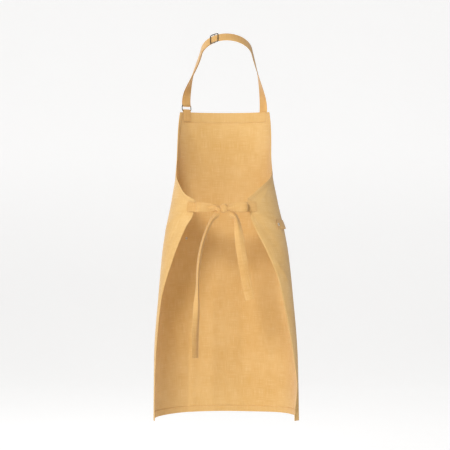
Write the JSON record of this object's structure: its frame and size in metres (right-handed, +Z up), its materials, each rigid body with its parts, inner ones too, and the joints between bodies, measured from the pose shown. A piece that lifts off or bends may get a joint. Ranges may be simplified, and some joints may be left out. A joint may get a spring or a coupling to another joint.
{
  "type": "artist smock apron",
  "caption": "Wrap-round canvas artist's apron in its worn shape: bib, adjustable neck strap with slider, waist ties in a bow, towel loop and front pocket.",
  "frame": {"origin": "the point where the neck strap rests on the back of the wearer's neck, on the strap's inner face at its middle", "axes": "+Z up, -Y towards the wearer's front, +X towards the wearer's left"},
  "size_m": [0.4286, 0.3108, 1.1303],
  "materials": {
    "canvas": "matt mustard-yellow cotton canvas",
    "tape": "matt cotton binding tape and turned hems",
    "strap_cloth": "matt doubled cotton canvas, edge stitched",
    "steel": "nickel-plated wire",
    "rivet_metal": "aged nickel rivets"
  },
  "bodies": {
    "apron": {"apron_panel": "canvas", "front_pocket": "canvas", "bib_facing": "tape", "armhole_binding_left": "tape", "armhole_binding_right": "tape", "back_hem_left": "tape", "back_hem_right": "tape", "bottom_hem": "tape", "neck_strap": "strap_cloth", "neck_strap_return": "strap_cloth", "ring_tab": "strap_cloth", "towel_loop": "strap_cloth", "waist_tie_left": "strap_cloth", "waist_tie_right": "strap_cloth", "bow_knot": "strap_cloth", "bow_loop_left": "strap_cloth", "bow_loop_right": "strap_cloth", "pocket_rivet_cap_left": "rivet_metal", "pocket_rivet_back_left": "rivet_metal", "pocket_rivet_cap_right": "rivet_metal", "pocket_rivet_back_right": "rivet_metal", "towel_loop_rivet_cap_front": "rivet_metal", "towel_loop_rivet_back_front": "rivet_metal", "towel_loop_rivet_cap_rear": "rivet_metal", "towel_loop_rivet_back_rear": "rivet_metal"},
    "slider": {"slider_frame": "steel", "slider_bar": "steel"},
    "ring": {"strap_ring": "steel"},
    "tail_left": {"tie_tail_left": "strap_cloth"},
    "tail_right": {"tie_tail_right": "strap_cloth"}
  },
  "joints": [
    {"name": "slider_travel", "type": "hinge", "parent": "apron", "child": "slider", "pos_m": [0, -0.0591, -0.04617], "axis": [0, 0.6157, -0.788], "range_deg": [-25, 25], "deforming": ["neck_strap_return"]},
    {"name": "ring_swivel", "type": "hinge", "parent": "apron", "child": "ring", "pos_m": [0.1203, -0.18807, -0.19902], "axis": [0.7952, 0.6063, 0], "range_deg": [-12, 20], "deforming": ["neck_strap"]},
    {"name": "tail_left_swing", "type": "hinge", "parent": "apron", "child": "tail_left", "pos_m": [0.022, 0.0178, -0.511], "axis": [1, 0, 0], "range_deg": [0, 45]},
    {"name": "tail_right_swing", "type": "hinge", "parent": "apron", "child": "tail_right", "pos_m": [-0.008, 0.0178, -0.511], "axis": [1, 0, 0], "range_deg": [0, 45]}
  ]
}
